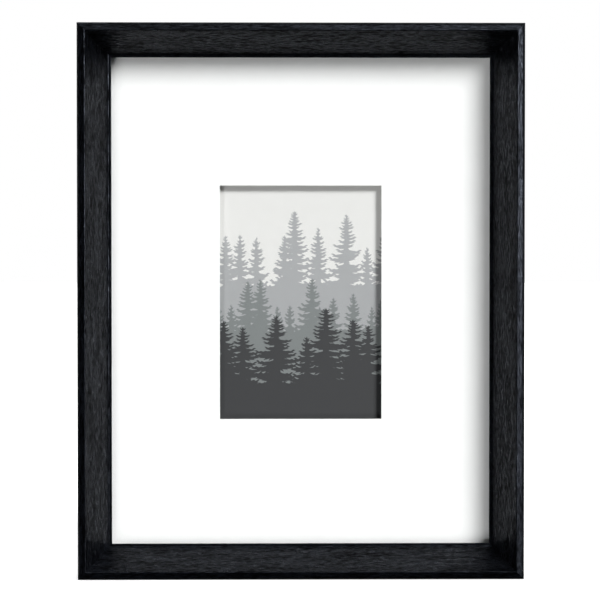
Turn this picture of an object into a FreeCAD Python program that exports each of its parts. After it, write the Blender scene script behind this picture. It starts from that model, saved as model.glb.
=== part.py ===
"""Deep shadow box frame for an 11 x 14 inch mat with a 5 x 7 inch print, in millimetres.

Axes: X to the viewer's right, Y from the front of the frame to the wall, Z up.
Origin: the middle of the rectangle that the frame stands on.
Each piece is written to parts/NODE.step.

The four rails share one cross-section, drawn with two coordinates:
    u  distance inwards from the rail's outer face
    v  depth behind the front crest's sharp corner, which the rounding takes away
Pieces that belong to one side are drawn on the bottom rail and turned onto their side by on_side().
"""

import FreeCAD, Part
import math
import os

from FreeCAD import Vector

INCH = 25.4

# Driving dimensions: sheet goods
SHEET_WIDTH = 11 * INCH
SHEET_HEIGHT = 14 * INCH
PRINT_WIDTH = 5 * INCH
PRINT_HEIGHT = 7 * INCH
WINDOW_WIDTH = 4.5 * INCH
WINDOW_HEIGHT = 6.5 * INCH
SHEET_CLEARANCE = 1.0
GLASS_THICKNESS = 2.0
MAT_THICKNESS = 1.5
SPACER_THICKNESS = 3.2
SPACER_WIDTH = 15.0
PRINT_THICKNESS = 0.3
MOUNT_THICKNESS = 1.5
BACKING_THICKNESS = 3.0
LAYER_GAP = 0.05
BACKING_TRIM = 0.4

# Driving dimensions: rail section
RAIL_WIDTH = 7 / 8 * INCH
RAIL_DEPTH = 37.9
LIP_OVERLAP = 0.25 * INCH
CREST_U = 5.7
LIP_FALL = 2.0
FOOT_U = 20.0
FOOT_V = 24.5
SIGHT_EDGE = 2.0
BACK_ROUND = 0.4
SHOULDER_ROUND = 3.0
CREST_ROUND = 0.8
FOOT_ROUND = 1.0
SIGHT_ROUND = 0.35
RABBET_ROUND = 0.2

# Driving dimensions: corner joints
V_NAIL_LEG = 4.0
V_NAIL_THICKNESS = 0.5
V_NAIL_HEIGHT = 10.0
V_NAIL_SINK = 0.5
V_NAIL_SEATS = (4.9, 11.0)

# Driving dimensions: turn buttons and their screws
BUTTON_LENGTH = 26.0
BUTTON_WIDTH = 9.0
BUTTON_THICKNESS = 1.0
BUTTON_LIFT = 0.25
BUTTON_HOLE_RADIUS = 1.58
BUTTON_EDGE_ROUND = 0.25
RIB_LENGTH = 9.0
RIB_RADIUS = 1.1
RIB_HEIGHT = 0.5
BUTTON_SPREAD_SHORT = 75.0
BUTTON_SPREAD_LONG = 110.0
SCREW_RADIUS = 1.5
SCREW_LENGTH = 12.0
SCREW_TIP = 2.5
SCREW_HEAD_RADIUS = 3.0
SCREW_HEAD_HEIGHT = 1.5
SCREW_HEAD_ROUND = 0.7
SCREW_HEAD_GAP = 0.05
RECESS_LENGTH = 3.4
RECESS_WIDTH = 0.8
RECESS_DEPTH = 0.9
PILOT_CLEARANCE = 0.02

# Driving dimensions: sawtooth hangers and their nails
HANGER_LENGTH = 46.0
HANGER_WIDTH = 9.0
HANGER_THICKNESS = 0.8
HANGER_TAB = 8.0
HANGER_RAMP = 2.0
HANGER_RISE = 1.5
TOOTH_PITCH = 2.2
TOOTH_DEPTH = 1.7
TOOTH_COUNT = 11
NAIL_RADIUS = 0.75
NAIL_LENGTH = 9.0
NAIL_HEAD_RADIUS = 1.7
NAIL_HEAD_HEIGHT = 0.5
NAIL_HEAD_ROUND = 0.3

# Driving dimensions: wall bumpers and photo corners
BUMPER_RADIUS = 5.0
BUMPER_HEIGHT = 3.0
BUMPER_ROUND = 0.9
BUMPER_INSET = 32.0
CORNER_LEG = 12.0
CORNER_SKIN = 0.2

# Sizes that follow
RABBET_U = RAIL_WIDTH - LIP_OVERLAP - SHEET_CLEARANCE
RABBET_V = FOOT_V + SIGHT_EDGE
OUTER_WIDTH = SHEET_WIDTH - 2 * LIP_OVERLAP + 2 * RAIL_WIDTH
OUTER_HEIGHT = SHEET_HEIGHT - 2 * LIP_OVERLAP + 2 * RAIL_WIDTH
LIP_SLOPE = math.atan2(LIP_FALL, CREST_U)
WALL_SLOPE = math.atan2(FOOT_V, FOOT_U - CREST_U)
CREST_STRETCH = math.cos((WALL_SLOPE - LIP_SLOPE) / 2) / math.cos((WALL_SLOPE + LIP_SLOPE) / 2)
CREST_SET_BACK = CREST_ROUND * (CREST_STRETCH - 1)
TOTAL_DEPTH = RAIL_DEPTH - CREST_SET_BACK + BUMPER_HEIGHT
FRONT_Y = -TOTAL_DEPTH / 2 - CREST_SET_BACK
BACK_Y = FRONT_Y + RAIL_DEPTH
HARDWARE_U = RABBET_U / 2
PIVOT_INSET = BUTTON_WIDTH / 2

# The sheets stand on the bottom rail's rabbet, so their middle lies a little under the frame's.
SHEET_BASE_Z = RABBET_U + LAYER_GAP
SHEET_MIDDLE_Z = SHEET_BASE_Z + SHEET_HEIGHT / 2

# Depth of each layer's front face, from the glass to the backing board
GLASS_V = RABBET_V + LAYER_GAP
MAT_V = GLASS_V + GLASS_THICKNESS + LAYER_GAP
SPACER_V = MAT_V + MAT_THICKNESS + LAYER_GAP
MOUNT_V = SPACER_V + SPACER_THICKNESS + LAYER_GAP
PRINT_V = MOUNT_V - PRINT_THICKNESS
BACKING_V = MOUNT_V + MOUNT_THICKNESS

# Turn about Y and middle of the outer face, for each side
SIDES = {
    "bottom": (0.0, Vector(0, 0, 0)),
    "top": (180.0, Vector(0, 0, OUTER_HEIGHT)),
    "left": (90.0, Vector(-OUTER_WIDTH / 2, 0, OUTER_HEIGHT / 2)),
    "right": (-90.0, Vector(OUTER_WIDTH / 2, 0, OUTER_HEIGHT / 2)),
}
RAIL_LENGTHS = {
    "bottom_rail": ("bottom", OUTER_WIDTH),
    "top_rail": ("top", OUTER_WIDTH),
    "left_stile": ("left", OUTER_HEIGHT),
    "right_stile": ("right", OUTER_HEIGHT),
}
# Node, side, and place along the side as drawn on the bottom rail
BUTTON_SEATS = {
    "turn_button_bottom_left": ("bottom", -BUTTON_SPREAD_SHORT),
    "turn_button_bottom_right": ("bottom", BUTTON_SPREAD_SHORT),
    "turn_button_top_left": ("top", BUTTON_SPREAD_SHORT),
    "turn_button_top_right": ("top", -BUTTON_SPREAD_SHORT),
    "turn_button_left_upper": ("left", -BUTTON_SPREAD_LONG),
    "turn_button_left_lower": ("left", BUTTON_SPREAD_LONG),
    "turn_button_right_upper": ("right", BUTTON_SPREAD_LONG),
    "turn_button_right_lower": ("right", -BUTTON_SPREAD_LONG),
}
HANGER_SIDES = {"sawtooth_hanger_portrait": "top", "sawtooth_hanger_landscape": "right"}


def on_side(shape, side):
    """A copy of a shape drawn on the bottom rail, turned onto the named side."""
    angle, middle = SIDES[side]
    moved = shape.copy()
    moved.rotate(Vector(0, 0, 0), Vector(0, 1, 0), angle)
    moved.translate(middle)
    return moved


def rounded_outline(corners):
    """A closed wire through (point, radius) corners, with a tangent arc at each corner that has a radius."""
    edges = []
    joins = []
    for i, (point, radius) in enumerate(corners):
        before = (corners[i - 1][0] - point).normalize()
        after = (corners[(i + 1) % len(corners)][0] - point).normalize()
        half_angle = before.getAngle(after) / 2
        if radius == 0:
            joins.append((point, point))
            continue
        reach = radius / math.tan(half_angle)
        start = point + before * reach
        end = point + after * reach
        centre = point + (before + after).normalize() * (radius / math.sin(half_angle))
        middle = centre + (point - centre).normalize() * radius
        edges.append(Part.Arc(start, middle, end).toShape())
        joins.append((start, end))
    for i, (_, leave) in enumerate(joins):
        arrive = joins[(i + 1) % len(joins)][0]
        edges.append(Part.LineSegment(leave, arrive).toShape())
    return Part.Wire(Part.__sortEdges__(edges))


def sheet(width, height, thickness, v, base_z):
    """A flat board whose front face is at depth v."""
    return Part.makeBox(width, thickness, height, Vector(-width / 2, FRONT_Y + v, base_z))


def rail_section():
    """The rails' shared cross-section, at X = 0."""
    corners = [
        (0.0, RAIL_DEPTH, BACK_ROUND),
        (0.0, LIP_FALL, SHOULDER_ROUND),
        (CREST_U, 0.0, CREST_ROUND),
        (FOOT_U, FOOT_V, FOOT_ROUND),
        (RAIL_WIDTH, FOOT_V, SIGHT_ROUND),
        (RAIL_WIDTH, RABBET_V, RABBET_ROUND),
        (RABBET_U, RABBET_V, 0.0),
        (RABBET_U, RAIL_DEPTH, BACK_ROUND),
    ]
    points = [(Vector(0, FRONT_Y + v, u), radius) for u, v, radius in corners]
    return Part.Face(rounded_outline(points))


def rail(side, length, cutters):
    """One mitred rail, with the seats of its nails and screws cut out."""
    bar = rail_section().extrude(Vector(length, 0, 0))
    bar.translate(Vector(-length / 2, 0, 0))
    half = length / 2
    mitre_points = [
        Vector(-half, FRONT_Y - 1, 0),
        Vector(half, FRONT_Y - 1, 0),
        Vector(half - RAIL_WIDTH, FRONT_Y - 1, RAIL_WIDTH),
        Vector(-half + RAIL_WIDTH, FRONT_Y - 1, RAIL_WIDTH),
    ]
    mitre = Part.Face(Part.makePolygon(mitre_points + mitre_points[:1]))
    cut_bar = bar.common(mitre.extrude(Vector(0, RAIL_DEPTH + 2, 0)))
    return on_side(cut_bar, side).cut(cutters).removeSplitter()


def corner_vee(seat, height, sink):
    """A V of two equal legs that straddles the mitre at the bottom left corner."""
    near = seat - V_NAIL_THICKNESS / 2
    far = seat + V_NAIL_THICKNESS / 2
    tip = near - V_NAIL_LEG
    outline = [(tip, near), (near, near), (near, tip), (far, tip), (far, far), (tip, far)]
    points = [Vector(x - OUTER_WIDTH / 2, BACK_Y - sink - height, z) for x, z in outline]
    return Part.Face(Part.makePolygon(points + points[:1])).extrude(Vector(0, height, 0))


def at_four_corners(shape):
    """The shape and its mirror images at the other three corners."""
    right = shape.mirror(Vector(0, 0, 0), Vector(1, 0, 0))
    middle = Vector(0, 0, OUTER_HEIGHT / 2)
    return [shape, right] + [s.mirror(middle, Vector(0, 0, 1)) for s in (shape, right)]


def v_nails():
    return [n for seat in V_NAIL_SEATS for n in at_four_corners(corner_vee(seat, V_NAIL_HEIGHT, V_NAIL_SINK))]


def v_nail_slots():
    depth = V_NAIL_HEIGHT + V_NAIL_SINK
    return [n for seat in V_NAIL_SEATS for n in at_four_corners(corner_vee(seat, depth, 0.0))]


def mat_board():
    """The mat, with a window cut at 45 degrees in reverse: its bevels face backwards, out of sight."""
    board = sheet(SHEET_WIDTH, SHEET_HEIGHT, MAT_THICKNESS, MAT_V, SHEET_BASE_Z)
    overshoot = 1.0
    ends = []
    front = (MAT_V - overshoot, -overshoot)
    back = (MAT_V + MAT_THICKNESS + overshoot, MAT_THICKNESS + overshoot)
    for v, spread in (front, back):
        half_width = WINDOW_WIDTH / 2 + spread
        half_height = WINDOW_HEIGHT / 2 + spread
        y = FRONT_Y + v
        points = [
            Vector(-half_width, y, SHEET_MIDDLE_Z - half_height),
            Vector(half_width, y, SHEET_MIDDLE_Z - half_height),
            Vector(half_width, y, SHEET_MIDDLE_Z + half_height),
            Vector(-half_width, y, SHEET_MIDDLE_Z + half_height),
        ]
        ends.append(Part.makePolygon(points + points[:1]))
    return board.cut(Part.makeLoft(ends, True, True))


def spacers():
    """Four board strips on the back of the mat, which hold it clear of the print."""
    upright_height = SHEET_HEIGHT - 2 * SPACER_WIDTH
    upright_z = SHEET_BASE_Z + SPACER_WIDTH
    top_z = SHEET_BASE_Z + SHEET_HEIGHT - SPACER_WIDTH
    level = sheet(SHEET_WIDTH, SPACER_WIDTH, SPACER_THICKNESS, SPACER_V, SHEET_BASE_Z)
    upright = sheet(SPACER_WIDTH, upright_height, SPACER_THICKNESS, SPACER_V, upright_z)
    reach = SHEET_WIDTH / 2 - SPACER_WIDTH / 2
    return {
        "spacer_bottom": level,
        "spacer_top": level.translated(Vector(0, 0, top_z - SHEET_BASE_Z)),
        "spacer_left": upright.translated(Vector(-reach, 0, 0)),
        "spacer_right": upright.translated(Vector(reach, 0, 0)),
    }


def print_card():
    base_z = SHEET_MIDDLE_Z - PRINT_HEIGHT / 2
    return sheet(PRINT_WIDTH, PRINT_HEIGHT, PRINT_THICKNESS, PRINT_V, base_z)


def photo_corners():
    """Four triangular paper pockets, glued to the mount board, that hold the print by its corners."""
    outer_x = -PRINT_WIDTH / 2 - CORNER_SKIN
    outer_z = SHEET_MIDDLE_Z - PRINT_HEIGHT / 2 - CORNER_SKIN
    y = FRONT_Y + PRINT_V - CORNER_SKIN
    points = [
        Vector(outer_x, y, outer_z),
        Vector(outer_x + CORNER_LEG, y, outer_z),
        Vector(outer_x, y, outer_z + CORNER_LEG),
    ]
    outline = Part.Face(Part.makePolygon(points + points[:1]))
    pocket = outline.extrude(Vector(0, PRINT_THICKNESS + CORNER_SKIN, 0)).cut(print_card())
    right = pocket.mirror(Vector(0, 0, 0), Vector(1, 0, 0))
    middle = Vector(0, 0, SHEET_MIDDLE_Z)
    return [pocket, right] + [s.mirror(middle, Vector(0, 0, 1)) for s in (pocket, right)]


def back_sheet(thickness, v):
    """A sheet that lifts out with the back: it is trimmed a little so that it slides past the rabbet."""
    width = SHEET_WIDTH - BACKING_TRIM
    height = SHEET_HEIGHT - BACKING_TRIM
    return sheet(width, height, thickness, v, SHEET_BASE_Z + BACKING_TRIM)


def turn_button(side, place):
    """A flat steel button on its screw, parked along the rail and pointing away from the side's middle."""
    round_radius = BUTTON_WIDTH / 2
    straight = BUTTON_LENGTH - BUTTON_WIDTH
    y = BACK_Y + BUTTON_LIFT
    axis = Vector(0, 1, 0)
    plate = Part.makeCylinder(round_radius, BUTTON_THICKNESS, Vector(0, y, 0), axis)
    plate = plate.fuse(Part.makeCylinder(round_radius, BUTTON_THICKNESS, Vector(straight, y, 0), axis))
    plate = plate.fuse(Part.makeBox(straight, BUTTON_THICKNESS, BUTTON_WIDTH, Vector(0, y, -round_radius)))
    plate = plate.removeSplitter()
    plate = plate.makeFillet(BUTTON_EDGE_ROUND, plate.Edges)
    rib_start = BUTTON_LENGTH - round_radius - PIVOT_INSET - RIB_LENGTH
    rib_base = y + BUTTON_THICKNESS - RIB_HEIGHT
    rib_depth = 2 * RIB_HEIGHT
    rib = Part.makeBox(RIB_LENGTH, rib_depth, 2 * RIB_RADIUS, Vector(rib_start, rib_base, -RIB_RADIUS))
    for x in (rib_start, rib_start + RIB_LENGTH):
        rib = rib.fuse(Part.makeCylinder(RIB_RADIUS, rib_depth, Vector(x, rib_base, 0), axis))
    rib = rib.removeSplitter()
    rib = rib.makeFillet(RIB_HEIGHT * 0.8, [e for e in rib.Edges if e.BoundBox.YMin > rib_base + RIB_HEIGHT])
    hole = Part.makeCylinder(BUTTON_HOLE_RADIUS, 4 * BUTTON_THICKNESS, Vector(0, BACK_Y - 1, 0), axis)
    button = plate.fuse(rib).cut(hole).removeSplitter()
    if place < 0:
        button.rotate(Vector(0, 0, 0), axis, 180)
    button.translate(Vector(place, 0, HARDWARE_U))
    return on_side(button, side)


def button_screw(side, place):
    """A pan head screw that stands in the rail and holds a turn button."""
    axis = Vector(0, 1, 0)
    head_y = BACK_Y + BUTTON_LIFT + BUTTON_THICKNESS + SCREW_HEAD_GAP
    head = Part.makeCylinder(SCREW_HEAD_RADIUS, SCREW_HEAD_HEIGHT, Vector(0, head_y, 0), axis)
    top_edges = [e for e in head.Edges if e.BoundBox.YMin > head_y + SCREW_HEAD_HEIGHT / 2]
    head = head.makeFillet(SCREW_HEAD_ROUND, top_edges)
    shank_length = SCREW_LENGTH - SCREW_TIP
    shank = Part.makeCylinder(SCREW_RADIUS, shank_length, Vector(0, head_y, 0), -axis)
    tip = Part.makeCone(SCREW_RADIUS, SCREW_RADIUS / 5, SCREW_TIP, Vector(0, head_y - shank_length, 0), -axis)
    screw = head.fuse(shank).fuse(tip)
    recess_y = head_y + SCREW_HEAD_HEIGHT - RECESS_DEPTH
    for size_x, size_z in ((RECESS_LENGTH, RECESS_WIDTH), (RECESS_WIDTH, RECESS_LENGTH)):
        corner = Vector(-size_x / 2, recess_y, -size_z / 2)
        screw = screw.cut(Part.makeBox(size_x, RECESS_DEPTH + 1, size_z, corner))
    screw.translate(Vector(place, 0, HARDWARE_U))
    return on_side(screw, side)


def pilot_hole(side, place, radius, depth):
    """A blind round hole into the back of a rail."""
    hole = Part.makeCylinder(radius, depth + 1, Vector(place, BACK_Y + 1, HARDWARE_U), Vector(0, -1, 0))
    return on_side(hole, side)


def hanger_nail_places():
    reach = HANGER_LENGTH / 2 - HANGER_TAB / 2
    return (-reach, reach)


def sawtooth_hanger(side):
    """A steel strip with flat nailed ends, a raised middle and a row of teeth on its inner edge."""
    half = HANGER_LENGTH / 2
    tab = half - HANGER_TAB
    flat = tab - HANGER_RAMP
    low = BACK_Y
    high = BACK_Y + HANGER_RISE
    lower_face = [(-half, low), (-tab, low), (-flat, high), (flat, high), (tab, low), (half, low)]
    upper_face = [(x, y + HANGER_THICKNESS) for x, y in reversed(lower_face)]
    points = [Vector(x, y, HARDWARE_U - HANGER_WIDTH / 2) for x, y in lower_face + upper_face]
    strip = Part.Face(Part.makePolygon(points + points[:1])).extrude(Vector(0, 0, HANGER_WIDTH))
    edge_z = HARDWARE_U + HANGER_WIDTH / 2
    for i in range(TOOTH_COUNT):
        x = (i - (TOOTH_COUNT - 1) / 2) * TOOTH_PITCH
        notch_points = [
            Vector(x - TOOTH_PITCH / 2, low, edge_z),
            Vector(x + TOOTH_PITCH / 2, low, edge_z),
            Vector(x, low, edge_z - TOOTH_DEPTH),
        ]
        notch = Part.Face(Part.makePolygon(notch_points + notch_points[:1]))
        strip = strip.cut(notch.extrude(Vector(0, 2 * HANGER_RISE + HANGER_THICKNESS, 0)))
    for x in hanger_nail_places():
        hole_start = Vector(x, BACK_Y - 1, HARDWARE_U)
        hole = Part.makeCylinder(NAIL_RADIUS + PILOT_CLEARANCE, 4, hole_start, Vector(0, 1, 0))
        strip = strip.cut(hole)
    return on_side(strip, side)


def hanger_nail(side, place):
    axis = Vector(0, 1, 0)
    head_y = BACK_Y + HANGER_THICKNESS
    head = Part.makeCylinder(NAIL_HEAD_RADIUS, NAIL_HEAD_HEIGHT, Vector(0, head_y, 0), axis)
    top_edges = [e for e in head.Edges if e.BoundBox.YMin > head_y + NAIL_HEAD_ROUND]
    head = head.makeFillet(NAIL_HEAD_ROUND, top_edges)
    nail = head.fuse(Part.makeCylinder(NAIL_RADIUS, NAIL_LENGTH, Vector(0, head_y, 0), -axis))
    nail.translate(Vector(place, 0, HARDWARE_U))
    return on_side(nail, side)


def wall_bumper():
    """A round rubber pad on the back of the bottom rail, near the left end."""
    place = Vector(-OUTER_WIDTH / 2 + BUMPER_INSET, BACK_Y, HARDWARE_U)
    pad = Part.makeCylinder(BUMPER_RADIUS, BUMPER_HEIGHT, place, Vector(0, 1, 0))
    outer_edges = [e for e in pad.Edges if e.BoundBox.YMin > BACK_Y + BUMPER_HEIGHT / 2]
    return pad.makeFillet(BUMPER_ROUND, outer_edges)


def seat_cutters():
    """Everything that is driven into the backs of the rails."""
    screw_depth = SCREW_LENGTH - BUTTON_LIFT - BUTTON_THICKNESS - SCREW_HEAD_GAP
    nail_depth = NAIL_LENGTH - HANGER_THICKNESS
    cutters = v_nail_slots()
    for side, place in BUTTON_SEATS.values():
        cutters.append(pilot_hole(side, place, SCREW_RADIUS + PILOT_CLEARANCE, screw_depth))
    for side in HANGER_SIDES.values():
        for place in hanger_nail_places():
            cutters.append(pilot_hole(side, place, NAIL_RADIUS + PILOT_CLEARANCE, nail_depth))
    return cutters


def button_pivot(side, place):
    """Where a turn button's axis meets the back of the frame."""
    return on_side(Part.Vertex(place, BACK_Y, HARDWARE_U), side).Point


def build():
    """Every node's shape, by name."""
    nodes = {}
    cutters = seat_cutters()
    for name, (side, length) in RAIL_LENGTHS.items():
        nodes[name] = rail(side, length, cutters)
    nodes["corner_v_nails"] = Part.makeCompound(v_nails())
    nodes["glass_pane"] = sheet(SHEET_WIDTH, SHEET_HEIGHT, GLASS_THICKNESS, GLASS_V, SHEET_BASE_Z)
    nodes["mat_board"] = mat_board()
    nodes.update(spacers())
    nodes["print_card"] = print_card()
    nodes["photo_corners"] = Part.makeCompound(photo_corners())
    nodes["mount_board"] = back_sheet(MOUNT_THICKNESS, MOUNT_V)
    nodes["backing_board"] = back_sheet(BACKING_THICKNESS, BACKING_V)
    for name, seat in BUTTON_SEATS.items():
        nodes[name] = turn_button(*seat)
    nodes["button_screws"] = Part.makeCompound([button_screw(*seat) for seat in BUTTON_SEATS.values()])
    for name, side in HANGER_SIDES.items():
        nodes[name] = sawtooth_hanger(side)
    nails = [hanger_nail(side, x) for side in HANGER_SIDES.values() for x in hanger_nail_places()]
    nodes["hanger_nails"] = Part.makeCompound(nails)
    nodes["wall_bumpers"] = Part.makeCompound(at_four_corners(wall_bumper()))
    return nodes


def main():
    os.makedirs("parts", exist_ok=True)
    for name, shape in build().items():
        print(f"{name}: {len(shape.Solids)} solids, {shape.Volume:.1f} mm3, valid {shape.isValid()}")
        shape.exportStep(f"parts/{name}.step")
    for name, seat in BUTTON_SEATS.items():
        pivot = button_pivot(*seat)
        print(f"{name} turns on the Y axis through X {pivot.x:.2f}, Z {pivot.z:.2f}")


if __name__ == "__main__":
    main()
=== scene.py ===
"""Looks of the deep shadow box frame: its materials, printed card, lights and camera, in metres."""

import math
import random

import bmesh
import bpy
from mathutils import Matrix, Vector
from mathutils.geometry import delaunay_2d_cdt


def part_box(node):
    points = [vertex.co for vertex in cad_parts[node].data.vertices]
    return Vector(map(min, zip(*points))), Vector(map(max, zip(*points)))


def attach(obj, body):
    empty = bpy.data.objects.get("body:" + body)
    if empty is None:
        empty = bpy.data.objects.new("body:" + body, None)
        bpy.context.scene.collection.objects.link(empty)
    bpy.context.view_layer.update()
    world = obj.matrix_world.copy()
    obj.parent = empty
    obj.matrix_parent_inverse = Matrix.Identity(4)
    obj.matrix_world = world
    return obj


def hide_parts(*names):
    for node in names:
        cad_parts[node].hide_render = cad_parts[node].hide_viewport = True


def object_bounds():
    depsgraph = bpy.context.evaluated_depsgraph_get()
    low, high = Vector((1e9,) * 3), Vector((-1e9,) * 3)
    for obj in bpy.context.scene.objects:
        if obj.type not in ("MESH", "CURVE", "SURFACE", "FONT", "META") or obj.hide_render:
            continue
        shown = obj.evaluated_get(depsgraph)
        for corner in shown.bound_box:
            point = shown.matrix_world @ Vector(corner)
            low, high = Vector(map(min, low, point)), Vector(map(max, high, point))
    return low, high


# Camera: how far it stands from the mat, how wide a field it takes in there, and how far off centre it stands
# and aims
CAMERA_DISTANCE = 1.45
FIELD_WIDTH = 0.4242
CAMERA_OFFSET = Vector((-0.02, 0.0, 0.032))
CAMERA_AIM = Vector((-0.0005, 0.0, 0.0007))
SENSOR_WIDTH = 36.0

# Lights: direction towards the light, strength, width in degrees, and whether it is seen by dull surfaces and
# mirrored by the satin lacquer
SUNS = {
    "key_light": ((0.95, -1.0, 0.97), 4.5, 18.0, True, True),
    "low_fill": ((-0.70, -1.0, -0.70), 1.15, 14.0, True, False),
    "right_strip": ((0.56, -0.81, 0.08), 2.8, 12.0, False, True),
    "top_strip": ((0.08, -0.83, 0.54), 0.9, 12.0, False, True),
    "back_light": ((-0.5, 1.0, 0.5), 2.6, 35.0, True, True),
}

# What the object is lit by and reflects: a dim room with a bright ceiling, panels on both sides and a wide
# panel behind. Each has its axis, where its edge begins and ends in the direction's share along it, and its
# strength
AMBIENT = 0.028
PANELS = (
    ("Z", 0.84, 0.96, 0.95),
    ("X", 0.88, 0.98, 0.45),
    ("X", -0.80, -0.96, 0.45),
    ("Y", 0.35, 0.90, 1.05),
)
BACKGROUND = 1.0
FLOOR_SIZE = 30.0
FLOOR_GAP = 0.0002
FLOOR_GLOW = 0.4

# Stained wood, as linear colours from the bottom of the pores to the lacquered ridges
STAIN_DEEP = (0.0004, 0.0004, 0.0006, 1.0)
STAIN_MID = (0.0018, 0.0021, 0.0028, 1.0)
STAIN_HIGH = (0.0056, 0.0066, 0.0092, 1.0)
STAIN_SHINE = (0.02, 0.27)
STAIN_SHEEN = (0.74, 0.82, 1.0, 1.0)
GRAIN_ALONG = 190.0
GRAIN_ACROSS = 1250.0

# How much each face of the coated glass reflects straight on
GLASS_SHINE = 0.01

# Hardboard, zinc plate and rubber
FIBRE_DARK = (0.085, 0.042, 0.020, 1.0)
FIBRE_MID = (0.165, 0.087, 0.042, 1.0)
FIBRE_PALE = (0.250, 0.145, 0.075, 1.0)
FIBRE_FLECK = (0.050, 0.022, 0.010, 1.0)
FIBRE_CLOUD = (0.12, 0.06, 0.03, 1.0)
ZINC_DULL = (0.47, 0.48, 0.50, 1.0)
ZINC_PLAIN = (0.62, 0.63, 0.64, 1.0)
ZINC_BRIGHT = (0.70, 0.69, 0.66, 1.0)
RUBBER_CLEAN = (0.010, 0.010, 0.011, 1.0)
RUBBER_DUSTY = (0.035, 0.034, 0.033, 1.0)

# The print's four tones, from the sky to the nearest trees. Each row has its number of trees, then the lowest
# tip, the highest tip and the ground as shares of the card's height, then a tree's half width over its height
TONES = {
    "sky": (0.750, 0.745, 0.732),
    "far": (0.372, 0.378, 0.388),
    "mid": (0.198, 0.214, 0.215),
    "near": (0.040, 0.041, 0.044),
}
TREE_ROWS = {
    "far": (9, 0.69, 0.87, 0.56, 0.31),
    "mid": (12, 0.48, 0.60, 0.38, 0.38),
    "near": (7, 0.32, 0.50, 0.17, 0.45),
}
FOREST_SEED = 5
BOUGH_DROP = 6.8
TWIG_PITCH = 3.2
MM = 0.001


class Shader:
    """A short way to write a material's nodes."""

    def __init__(self, name):
        self.material = bpy.data.materials.new(name)
        self.material.use_nodes = True
        self.tree = self.material.node_tree
        self.surface = self.tree.nodes["Principled BSDF"]
        self.output = self.tree.nodes["Material Output"]
        self.place = self.tree.nodes.new("ShaderNodeTexCoord").outputs["Object"]

    def add(self, kind, inputs=None, **settings):
        """A new node with its settings, and with each input set to a value or linked to a socket."""
        node = self.tree.nodes.new("ShaderNode" + kind)
        for name, value in settings.items():
            setattr(node, name, value)
        for name, value in (inputs or {}).items():
            self.feed(node.inputs[name], value)
        return node

    def feed(self, socket, value):
        if isinstance(value, bpy.types.NodeSocket):
            self.tree.links.new(value, socket)
        else:
            socket.default_value = value

    def finish(self, **inputs):
        """Sets the Principled shader's inputs, named with underscores for spaces."""
        for name, value in inputs.items():
            self.feed(self.surface.inputs[name.replace("_", " ")], value)
        return self.material

    def stretched(self, scale, shift=(0.0, 0.0, 0.0)):
        inputs = {"Vector": self.place, "Scale": scale, "Location": shift}
        return self.add("Mapping", inputs).outputs["Vector"]

    def noise(self, vector, scale=1.0, detail=4.0, roughness=0.55, distortion=0.0):
        inputs = {"Vector": vector, "Scale": scale, "Detail": detail, "Roughness": roughness}
        inputs["Distortion"] = distortion
        return self.add("TexNoise", inputs).outputs["Fac"]

    def ramp(self, factor, stops):
        """A colour ramp through (position, colour) stops; a single number stands for a grey."""
        node = self.add("ValToRGB", {"Fac": factor})
        elements = node.color_ramp.elements
        while len(elements) < len(stops):
            elements.new(1.0)
        for element, (position, colour) in zip(elements, stops):
            element.position = position
            element.color = colour if isinstance(colour, tuple) else (colour, colour, colour, 1.0)
        return node.outputs["Color"]

    def mix(self, factor, a, b, blend="MIX"):
        node = self.add("Mix", data_type="RGBA", blend_type=blend)
        for socket, value in zip((node.inputs[0], node.inputs[6], node.inputs[7]), (factor, a, b)):
            self.feed(socket, value)
        return node.outputs[2]

    def maths(self, operation, a, b=0.0):
        node = self.add("Math", operation=operation)
        self.feed(node.inputs[0], a)
        self.feed(node.inputs[1], b)
        return node.outputs[0]

    def bump(self, height, strength, distance, under=None):
        inputs = {"Height": height, "Strength": strength, "Distance": distance}
        if under is not None:
            inputs["Normal"] = under
        return self.add("Bump", inputs).outputs["Normal"]


def stained_wood(name, along, shift):
    """Open grain that runs along one axis, stained black under a satin lacquer."""
    s = Shader(name)
    scale = [GRAIN_ACROSS] * 3
    scale["xyz".index(along)] = GRAIN_ALONG
    grain_place = s.stretched(scale, shift)
    figure = s.noise(grain_place, 0.18, 3.0, 0.5, 0.4)
    streaks = s.noise(grain_place, 1.0, 4.0, 0.62, 0.25)
    pore_scale = [1.8 * GRAIN_ACROSS] * 3
    pore_scale["xyz".index(along)] = 1.6 * GRAIN_ALONG
    pore_noise = s.noise(s.stretched(pore_scale, shift), 1.0, 2.0, 0.5)
    pores = s.ramp(pore_noise, [(0.54, 0.0), (0.64, 1.0)])
    blend = s.maths("ADD", s.maths("MULTIPLY", streaks, 0.75), s.maths("MULTIPLY", figure, 0.25))
    colour = s.ramp(blend, [(0.40, STAIN_DEEP), (0.52, STAIN_MID), (0.62, STAIN_HIGH)])
    colour = s.mix(s.maths("MULTIPLY", pores, 0.85), colour, STAIN_DEEP)
    low_shine, high_shine = STAIN_SHINE
    shine = s.ramp(blend, [(0.41, low_shine), (0.61, high_shine)])
    shine = s.mix(s.maths("MULTIPLY", pores, 0.8), shine, (low_shine, low_shine, low_shine, 1.0))
    rough = s.ramp(blend, [(0.35, 0.36), (0.65, 0.24)])
    ridges = s.bump(blend, 0.5, 0.00016)
    normal = s.bump(pores, -0.4, 0.00008, ridges)
    s.finish(Specular_IOR_Level=shine, Specular_Tint=STAIN_SHEEN)
    return s.finish(Base_Color=colour, Roughness=rough, Normal=normal)


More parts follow.
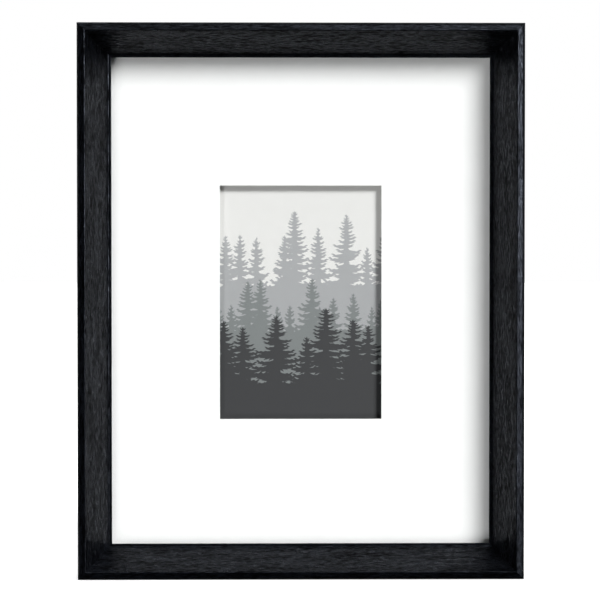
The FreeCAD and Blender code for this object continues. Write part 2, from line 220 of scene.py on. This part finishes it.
def clear_glass():
    """Coated picture glass: clear, with a faint reflection that grows at a slant. It doesn't bend light."""
    s = Shader("picture_glass")
    clear = s.add("BsdfTransparent", {"Color": (0.994, 0.997, 0.995, 1.0)})
    shine = s.add("BsdfGlossy", {"Color": (1.0, 1.0, 1.0, 1.0), "Roughness": 0.0})
    slant = s.add("LayerWeight", {"Blend": 0.5}).outputs["Facing"]
    share = s.maths("ADD", s.maths("MULTIPLY", s.maths("POWER", slant, 5.0), 0.9), GLASS_SHINE)
    mixed = s.add("MixShader", {"Fac": share})
    s.feed(mixed.inputs[1], clear.outputs[0])
    s.feed(mixed.inputs[2], shine.outputs[0])
    s.tree.nodes.remove(s.surface)
    s.feed(s.output.inputs["Surface"], mixed.outputs[0])
    return s.material


def board(name, colour, fleck=0.02, roughness=0.8, tooth=0.00003):
    """Paper-faced board or card: a fine tooth and a slight mottle."""
    s = Shader(name)
    tooth_noise = s.noise(s.place, 2600.0, 3.0, 0.6)
    mottle = s.noise(s.place, 160.0, 4.0, 0.6)
    low = tuple(c * (1.0 - fleck) for c in colour) + (1.0,)
    tint = s.ramp(mottle, [(0.35, low), (0.65, tuple(colour) + (1.0,))])
    rough = s.ramp(tooth_noise, [(0.3, roughness + 0.06), (0.7, roughness - 0.06)])
    normal = s.bump(tooth_noise, 0.4, tooth)
    return s.finish(Base_Color=tint, Roughness=rough, Normal=normal, Specular_IOR_Level=0.25)


def hardboard():
    """Pressed brown fibre with darker and paler flecks, smooth and a little shiny on its face."""
    s = Shader("hardboard_face")
    fibres = s.noise(s.stretched((520.0, 520.0, 240.0)), 1.0, 5.0, 0.7, 1.2)
    flecks = s.noise(s.place, 900.0, 2.0, 0.5)
    cloud = s.noise(s.place, 14.0, 3.0, 0.5)
    tint = s.ramp(fibres, [(0.30, FIBRE_DARK), (0.52, FIBRE_MID), (0.72, FIBRE_PALE)])
    tint = s.mix(s.ramp(flecks, [(0.62, 0.0), (0.70, 0.6)]), tint, FIBRE_FLECK)
    tint = s.mix(s.ramp(cloud, [(0.35, 0.0), (0.65, 0.22)]), tint, FIBRE_CLOUD)
    rough = s.ramp(fibres, [(0.3, 0.62), (0.7, 0.44)])
    return s.finish(Base_Color=tint, Roughness=rough, Normal=s.bump(fibres, 0.35, 0.00010))


def zinc(name, streak):
    """Bright zinc plate with fine rub marks along one axis and a cloudy sheen."""
    s = Shader(name)
    scale = [5200.0] * 3
    scale["xyz".index(streak)] = 260.0
    marks = s.noise(s.stretched(scale), 1.0, 3.0, 0.6)
    cloud = s.noise(s.place, 420.0, 4.0, 0.6)
    tint = s.ramp(cloud, [(0.30, ZINC_DULL), (0.55, ZINC_PLAIN), (0.75, ZINC_BRIGHT)])
    rough = s.maths("ADD", s.maths("MULTIPLY", marks, 0.22), s.maths("MULTIPLY", cloud, 0.20))
    rough = s.maths("ADD", rough, 0.12)
    return s.finish(Base_Color=tint, Metallic=1.0, Roughness=rough, Normal=s.bump(marks, 0.25, 0.00002))


def rubber():
    s = Shader("black_rubber")
    grain = s.noise(s.place, 1800.0, 4.0, 0.6)
    dust = s.noise(s.place, 500.0, 4.0, 0.7)
    tint = s.ramp(dust, [(0.45, RUBBER_CLEAN), (0.75, RUBBER_DUSTY)])
    rough = s.ramp(grain, [(0.3, 0.85), (0.7, 0.65)])
    return s.finish(Base_Color=tint, Roughness=rough, Normal=s.bump(grain, 0.5, 0.00005))


def mat_board():
    """White mat with a smooth face and a brighter cut core in its bevels and edges."""
    s = Shader("white_mat")
    normal_out = s.tree.nodes.new("ShaderNodeTexCoord").outputs["Normal"]
    axes = s.add("SeparateXYZ", {"Vector": normal_out})
    facing = s.maths("ABSOLUTE", axes.outputs["Y"])
    core = s.maths("LESS_THAN", facing, 0.85)
    tooth = s.noise(s.place, 2200.0, 3.0, 0.6)
    mottle = s.noise(s.place, 90.0, 4.0, 0.6)
    face = s.ramp(mottle, [(0.35, (0.925, 0.925, 0.925, 1)), (0.65, (0.94, 0.94, 0.94, 1))])
    tint = s.mix(core, face, (0.955, 0.955, 0.95, 1))
    rough = s.ramp(tooth, [(0.3, 0.88), (0.7, 0.76)])
    normal = s.bump(tooth, 0.35, 0.00003)
    return s.finish(Base_Color=tint, Roughness=rough, Normal=normal, Specular_IOR_Level=0.2)


def floor_paint():
    """White paper that glows a little, so that shadows on it stay soft and pale."""
    s = Shader("floor_paper")
    tooth = s.noise(s.place, 300.0, 3.0, 0.6)
    rough = s.ramp(tooth, [(0.3, 0.95), (0.7, 0.85)])
    s.finish(Emission_Color=(1.0, 1.0, 1.0, 1.0), Emission_Strength=FLOOR_GLOW)
    return s.finish(Base_Color=(0.9, 0.9, 0.9, 1.0), Roughness=rough)


def paint(material, *nodes):
    for node in nodes:
        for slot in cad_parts[node].material_slots:
            slot.material = material


def bough(rng, x, z, side, reach, drop):
    """One bough's outline: out along its upper edge to a lifted end, and back under its hanging twigs."""
    twigs = max(2, round(reach / TWIG_PITCH))
    lift = 0.22 * drop
    upper, lower = [], []
    for i in range(twigs):
        share = (i + 1) / twigs
        middle = z - drop * (0.75 * share - 0.55 * share ** 3)
        out = x + side * reach * share
        upper.append((out - side * 0.45 * reach / twigs, middle + lift * rng.uniform(0.4, 1.0)))
        upper.append((out, middle + 0.3 * lift))
        thick = drop * (0.95 - 0.75 * share)
        lower.append((out - side * 0.25 * reach / twigs, middle - thick * rng.uniform(0.9, 1.3)))
        lower.append((out - side * 0.60 * reach / twigs, middle - 0.75 * thick))
    return upper + lower[::-1]


def conifer(rng, x, tip, foot, spread):
    """One conifer as overlapping anticlockwise outlines in millimetres: a slim core and paired boughs."""
    height = tip - foot
    half_width = spread * height
    core = 0.16 * half_width
    outlines = [[(x, tip), (x - core, foot), (x + core, foot)]]
    z = tip - 0.02 * height
    while z > foot:
        share = (tip - z) / height
        drop = BOUGH_DROP * (0.35 + 0.9 * share)
        for side in (-1, 1):
            reach = half_width * (0.05 + 0.95 * share ** 0.75) * rng.uniform(0.60, 1.12)
            root = z + drop * rng.uniform(-0.2, 0.2)
            outline = [(x, root + 0.3 * drop)] + bough(rng, x, root, side, reach, drop) + [(x, root - drop)]
            outlines.append(outline if side < 0 else outline[::-1])
        z -= drop * rng.uniform(0.50, 0.75)
    return outlines


def undergrowth(rng, width, ground):
    """The ground under a row of trees, with a ragged top."""
    points = [(-1, -1), (width + 1, -1)]
    x = width + 1
    while x > -1:
        points.append((x, ground + rng.uniform(0.0, 2.2)))
        x -= rng.uniform(0.5, 1.6)
    return points + [(-1, ground)]


def forest(width, height):
    """The print's areas as (tone, outline), back to front, in millimetres from the card's corner."""
    rng = random.Random(FOREST_SEED)
    areas = [("sky", [(0, 0), (width, 0), (width, height), (0, height)])]
    for tone, (count, low_tip, high_tip, ground, spread) in TREE_ROWS.items():
        foot = ground * height
        areas.append((tone, undergrowth(rng, width, foot)))
        for i in range(count):
            x = width * (i + 0.5 + rng.uniform(-0.36, 0.36)) / count
            tip = height * rng.uniform(low_tip, high_tip)
            areas += [(tone, outline) for outline in conifer(rng, x, tip, foot - 0.04 * height, spread)]
    return areas


def printed_card(inks, stock):
    """The card, closed all round, whose front face is divided along the outlines of the print's areas."""
    low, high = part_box("print_card")
    width, height = (high.x - low.x) / MM, (high.z - low.z) / MM
    areas = forest(width, height)
    points, faces = [], []
    for _, outline in areas:
        faces.append(list(range(len(points), len(points) + len(outline))))
        points += [Vector(p) for p in outline]
    flat, _, cells, _, _, covers = delaunay_2d_cdt(points, [], faces, 1, 1e-5)
    tones = list(TONES)
    mesh = bmesh.new()
    verts = [mesh.verts.new((low.x + p.x * MM, low.y, low.z + p.y * MM)) for p in flat]
    for cell, cover in zip(cells, covers):
        if 0 in cover:
            face = mesh.faces.new([verts[i] for i in cell])
            face.material_index = max(tones.index(areas[i][0]) for i in cover)
    bmesh.ops.delete(mesh, geom=[v for v in mesh.verts if not v.link_faces], context="VERTS")
    rim = [e for e in mesh.edges if e.is_boundary]
    back = {v: mesh.verts.new((v.co.x, high.y, v.co.z)) for e in rim for v in e.verts}
    for edge in rim:
        a, b = edge.verts
        if edge.link_loops[0].vert is a:
            a, b = b, a
        mesh.faces.new([a, b, back[b], back[a]]).material_index = len(tones)
    middle = Vector(((low.x + high.x) / 2, high.y, (low.z + high.z) / 2))
    ring = sorted(back.values(), key=lambda v: math.atan2(v.co.z - middle.z, v.co.x - middle.x), reverse=True)
    mesh.faces.new(ring).material_index = len(tones)
    bmesh.ops.recalc_face_normals(mesh, faces=mesh.faces)
    data = bpy.data.meshes.new("printed_card")
    mesh.to_mesh(data)
    mesh.free()
    for material in [inks[tone] for tone in tones] + [stock]:
        data.materials.append(material)
    card = bpy.data.objects.new("printed_card", data)
    bpy.context.scene.collection.objects.link(card)
    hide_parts("print_card")
    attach(card, "back_panel")


def make_camera():
    low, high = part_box("mat_board")
    target = Vector((0.0, low.y, (cad_low.z + cad_high.z) / 2)) + CAMERA_AIM
    data = bpy.data.cameras.new("camera")
    data.sensor_width = SENSOR_WIDTH
    data.lens = SENSOR_WIDTH * CAMERA_DISTANCE / FIELD_WIDTH
    data.clip_start = 0.05
    camera = bpy.data.objects.new("camera", data)
    camera.location = target + CAMERA_OFFSET - Vector((0.0, CAMERA_DISTANCE, 0.0))
    camera.rotation_euler = (target - camera.location).to_track_quat("-Z", "Y").to_euler()
    bpy.context.scene.collection.objects.link(camera)
    bpy.context.scene.camera = camera


def make_lights():
    for name, (direction, strength, width, lights_dull, mirrored) in SUNS.items():
        data = bpy.data.lights.new(name, "SUN")
        data.energy = strength
        data.angle = math.radians(width)
        lamp = bpy.data.objects.new(name, data)
        lamp.visible_diffuse = lights_dull
        lamp.visible_glossy = mirrored
        lamp.rotation_euler = Vector(direction).to_track_quat("Z", "Y").to_euler()
        bpy.context.scene.collection.objects.link(lamp)


def panel_light(tree):
    """How bright the room is in each direction: the dim walls and the soft-edged panels."""
    direction = tree.nodes.new("ShaderNodeTexCoord").outputs["Generated"]
    axes = tree.nodes.new("ShaderNodeSeparateXYZ")
    tree.links.new(direction, axes.inputs["Vector"])
    total = AMBIENT
    for axis, begin, end, strength in PANELS:
        edge = tree.nodes.new("ShaderNodeMapRange")
        edge.interpolation_type = "SMOOTHSTEP"
        edge.inputs["From Min"].default_value = begin
        edge.inputs["From Max"].default_value = end
        edge.inputs["To Max"].default_value = strength
        tree.links.new(axes.outputs[axis], edge.inputs["Value"])
        summed = tree.nodes.new("ShaderNodeMath")
        tree.links.new(edge.outputs[0], summed.inputs[0])
        if isinstance(total, float):
            summed.inputs[1].default_value = total
        else:
            tree.links.new(total, summed.inputs[1])
        total = summed.outputs[0]
    return total


def make_world():
    """A plain white ground to look at, and a dimmer one to be lit by."""
    world = bpy.data.worlds.new("studio")
    bpy.context.scene.world = world
    world.use_nodes = True
    tree = world.node_tree
    seen = tree.nodes["Background"]
    seen.inputs["Color"].default_value = (1.0, 1.0, 1.0, 1.0)
    seen.inputs["Strength"].default_value = BACKGROUND
    lit = tree.nodes.new("ShaderNodeBackground")
    lit.inputs["Color"].default_value = (0.96, 0.98, 1.0, 1.0)
    tree.links.new(panel_light(tree), lit.inputs["Strength"])
    path = tree.nodes.new("ShaderNodeLightPath")
    mixed = tree.nodes.new("ShaderNodeMixShader")
    tree.links.new(path.outputs["Is Camera Ray"], mixed.inputs["Fac"])
    tree.links.new(lit.outputs[0], mixed.inputs[1])
    tree.links.new(seen.outputs[0], mixed.inputs[2])
    tree.links.new(mixed.outputs[0], tree.nodes["World Output"].inputs["Surface"])


def make_floor():
    half = FLOOR_SIZE / 2
    z = cad_low.z - FLOOR_GAP
    data = bpy.data.meshes.new("floor")
    corners = [(-half, -half, z), (half, -half, z), (half, half, z), (-half, half, z)]
    data.from_pydata(corners, [], [(0, 1, 2, 3)])
    data.materials.append(floor_paint())
    floor = bpy.data.objects.new("floor", data)
    floor.visible_diffuse = False
    floor.visible_glossy = False
    floor.visible_shadow = False
    bpy.context.scene.collection.objects.link(floor)


def finish_materials():
    rails = {"top_rail": "x", "bottom_rail": "x", "left_stile": "z", "right_stile": "z"}
    for i, (rail, along) in enumerate(rails.items()):
        paint(stained_wood("stained_" + rail, along, (3.7 * i, 11.3 * i, 5.9 * i)), rail)
    paint(clear_glass(), "glass_pane")
    paint(mat_board(), "mat_board")
    spacers = [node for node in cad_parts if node.startswith("spacer")]
    paint(board("spacer_strip", (0.88, 0.88, 0.87)), *spacers)
    paint(board("corner_paper", (0.82, 0.80, 0.74)), "photo_corners")
    paint(board("mount_face", (0.80, 0.79, 0.75), 0.05), "mount_board")
    paint(hardboard(), "backing_board")
    flat_zinc = zinc("zinc_across", "x")
    upright_zinc = zinc("zinc_up", "z")
    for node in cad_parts:
        if node.startswith(("turn_button", "sawtooth")):
            low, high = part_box(node)
            paint(flat_zinc if high.x - low.x > high.z - low.z else upright_zinc, node)
    paint(zinc("zinc_screws", "y"), "button_screws", "hanger_nails", "corner_v_nails")
    paint(rubber(), "wall_bumpers")


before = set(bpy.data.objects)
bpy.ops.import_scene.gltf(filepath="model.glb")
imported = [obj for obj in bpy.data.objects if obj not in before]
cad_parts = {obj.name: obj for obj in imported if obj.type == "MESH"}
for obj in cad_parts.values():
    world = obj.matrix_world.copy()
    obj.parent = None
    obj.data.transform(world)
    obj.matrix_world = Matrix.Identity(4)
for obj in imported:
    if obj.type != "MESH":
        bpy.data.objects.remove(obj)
cad_low, cad_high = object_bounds()
bpy.context.scene.view_settings.view_transform = "Standard"
make_camera()
make_lights()
make_world()
make_floor()
finish_materials()
ink_materials = {tone: board("ink_" + tone, colour, 0.03, 0.6) for tone, colour in TONES.items()}
printed_card(ink_materials, board("card_stock", (0.85, 0.85, 0.83)))
